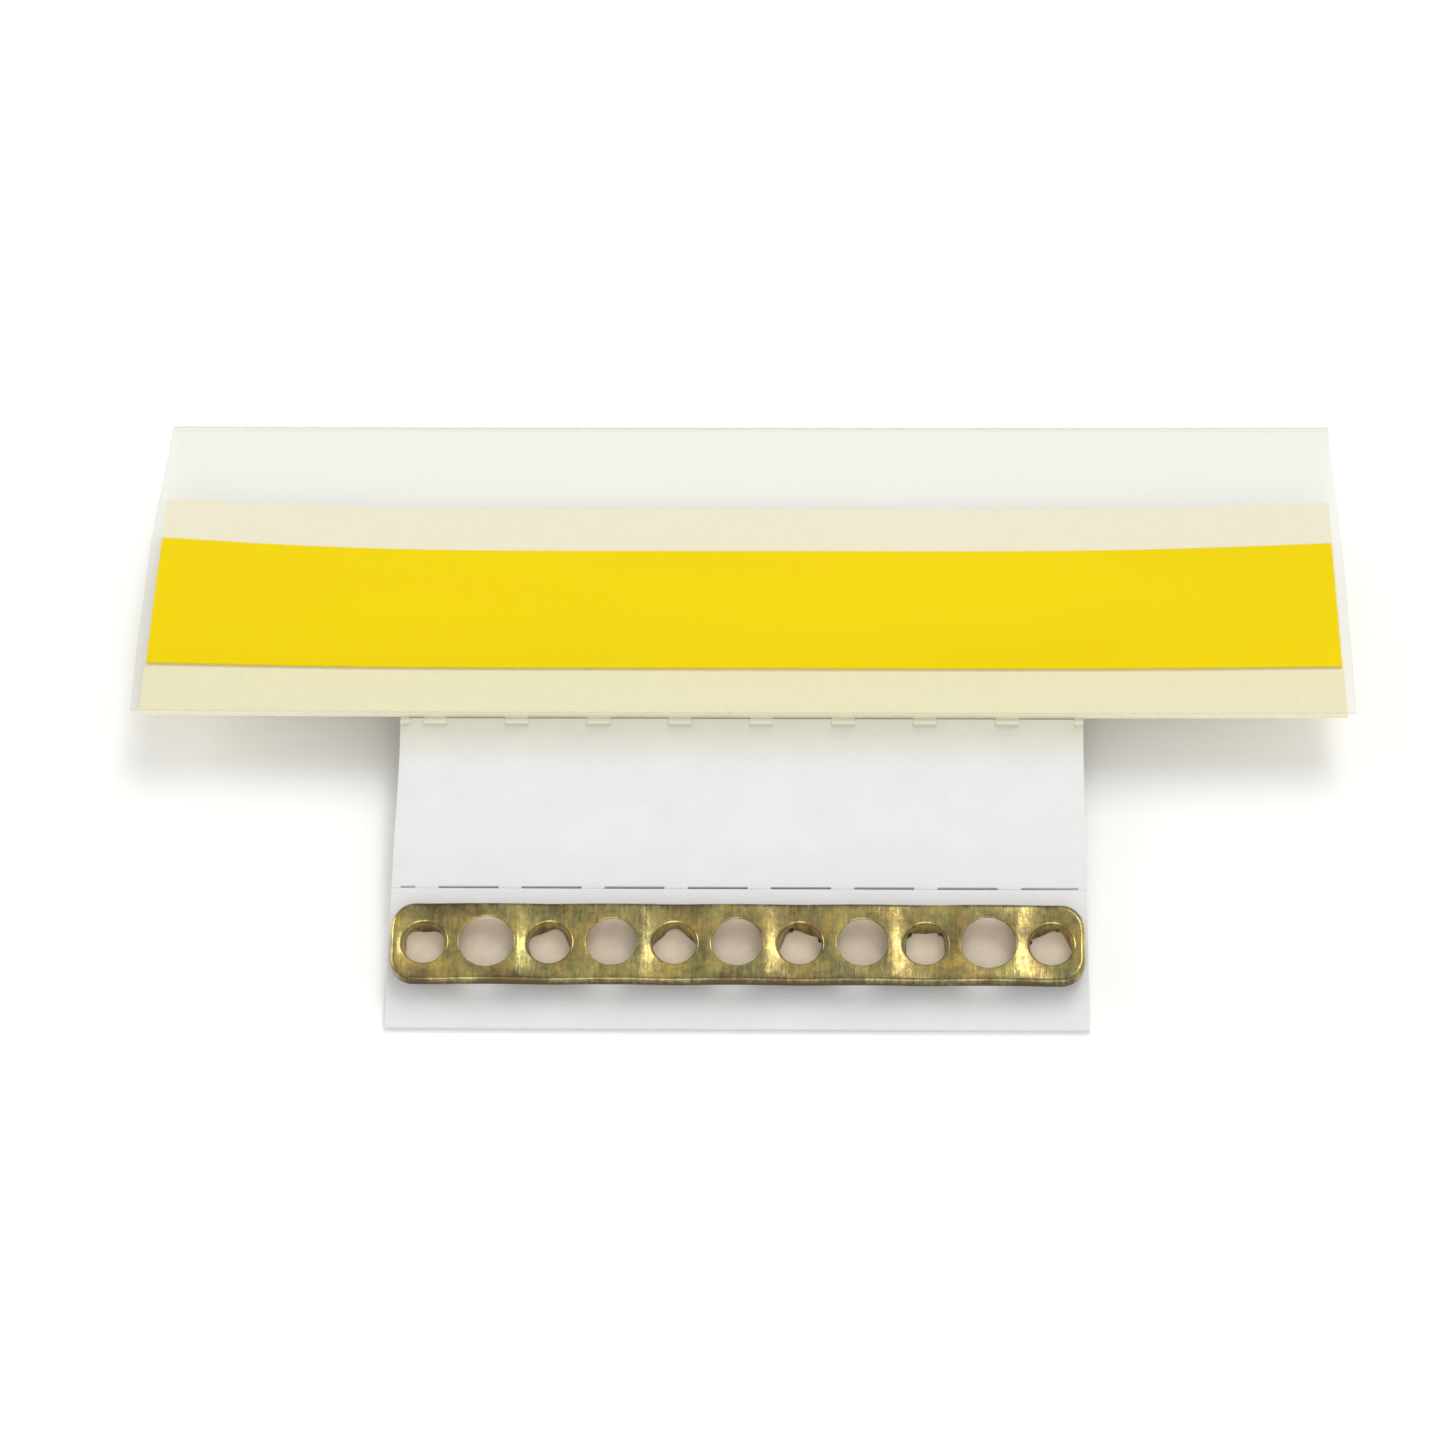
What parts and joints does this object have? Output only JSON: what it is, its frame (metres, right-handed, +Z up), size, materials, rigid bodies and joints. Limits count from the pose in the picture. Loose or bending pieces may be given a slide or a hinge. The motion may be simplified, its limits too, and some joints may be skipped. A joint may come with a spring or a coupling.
{
  "type": "carrier tape splice",
  "caption": "Adhesive splice for component carrier tape: a film and liner sheet with a yellow strip, a perforated paper tab and a stamped brass clip with pierced eyelets.",
  "frame": {"origin": "centre of the base, on the table under the ridge's footprint", "axes": "+X along the clip and the yellow strip, +Y from the tab to the rear of the sheet, +Z up"},
  "size_m": [0.0402, 0.025, 0.0021],
  "materials": {
    "clear_film": "clear polyester film, glossy",
    "yellow_film": "yellow polyester film, smooth",
    "adhesive": "pressure-sensitive acrylic adhesive",
    "liner": "cream siliconised release paper",
    "bond_tape": "tissue-backed double-sided tape",
    "white_paper": "uncoated white paper",
    "brass": "stamped brass sheet, lightly scratched"
  },
  "bodies": {
    "liner": {"release_liner": "liner", "bond_tape": "bond_tape", "tab_root_paper": "white_paper"},
    "tab": {"tab_paper": "white_paper"},
    "clip_strip": {"clip_strip_paper": "white_paper", "clip_adhesive": "adhesive"},
    "clip": {"brass_clip": "brass"},
    "splice_strip": {"yellow_splice_film": "yellow_film", "splice_adhesive": "adhesive"},
    "film": {"clear_film": "clear_film"}
  },
  "joints": [
    {"name": "tab_fold", "type": "hinge", "parent": "liner", "child": "tab", "pos_m": [0, -0.00161, 0.0018], "axis": [-1, 0, 0], "range_deg": [-60, 95]},
    {"name": "strip_fold", "type": "hinge", "parent": "tab", "child": "clip_strip", "pos_m": [0, -0.00754, 0.00086], "axis": [-1, 0, 0], "range_deg": [-90, 90]},
    {"name": "clip_lift", "type": "slide", "parent": "clip_strip", "child": "clip", "axis": [0, -0.1569, 0.9876], "range_m": [0, 0.004]},
    {"name": "strip_peel", "type": "hinge", "parent": "liner", "child": "splice_strip", "pos_m": [0, 0.01248, 0], "axis": [-1, 0, 0], "range_deg": [0, 100]},
    {"name": "film_lift", "type": "slide", "parent": "splice_strip", "child": "film", "axis": [0, 0.1376, 0.9905], "range_m": [0, 0.005]}
  ]
}
